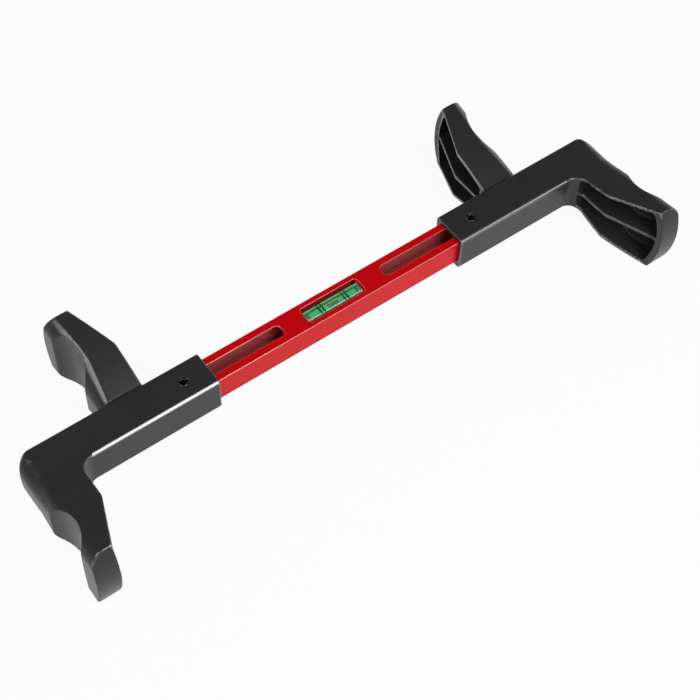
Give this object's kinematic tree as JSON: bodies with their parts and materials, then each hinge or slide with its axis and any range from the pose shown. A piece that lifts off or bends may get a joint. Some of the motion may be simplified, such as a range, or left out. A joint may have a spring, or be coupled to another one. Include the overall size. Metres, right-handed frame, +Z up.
{
  "type": "steering wheel level",
  "caption": "Sprung bar that spans the inside of a steering wheel's rim and shows with a spirit vial whether the wheel stands level.",
  "frame": {"origin": "centre of the bar, on its axis, midway between the two ends when both are fully out", "axes": "+X along the bar to the right end, +Y to the far arms, +Z up out of the vial's window"},
  "size_m": [0.4548, 0.167, 0.0602],
  "materials": {
    "red_coat": "satin red coat on aluminium",
    "cradle_plastic": "matte moulded, red",
    "vial_clear": "clear tinted acrylic",
    "green_spirit": "clear green liquid",
    "air_bubble": "clear",
    "index_ink": "printed in grooves",
    "vial_plugs": "gloss",
    "plug_plastic": "matte moulded",
    "spring_wire": "drawn wire",
    "black_moulding": "fine grained satin",
    "pin_steel": "blackened"
  },
  "bodies": {
    "bar": {"bar_tube": "red_coat", "vial_cradle": "cradle_plastic", "vial_body": "vial_clear", "vial_fluid": "green_spirit", "vial_lines": "index_ink", "vial_left_plug": "vial_plugs", "vial_right_plug": "vial_plugs", "left_bar_plug": "plug_plastic", "right_bar_plug": "plug_plastic", "left_spring": "spring_wire", "right_spring": "spring_wire"},
    "left_end": {"left_end_arms": "black_moulding", "left_roll_pin": "pin_steel"},
    "right_end": {"right_end_arms": "black_moulding", "right_roll_pin": "pin_steel"},
    "bubble": {"vial_bubble": "air_bubble"}
  },
  "joints": [
    {"name": "left_slide", "type": "slide", "parent": "bar", "child": "left_end", "axis": [1, 0, 0], "range_m": [0, 0.07], "stiffness_N_per_m": 250, "springref_m": -0.06, "deforming": ["left_spring"]},
    {"name": "right_slide", "type": "slide", "parent": "bar", "child": "right_end", "axis": [-1, 0, 0], "range_m": [0, 0.07], "stiffness_N_per_m": 250, "springref_m": -0.06, "deforming": ["right_spring"]},
    {"name": "bubble_slide", "type": "slide", "parent": "bar", "child": "bubble", "axis": [1, 0, 0], "range_m": [-0.012, 0.012], "stiffness_N_per_m": 0.05}
  ]
}
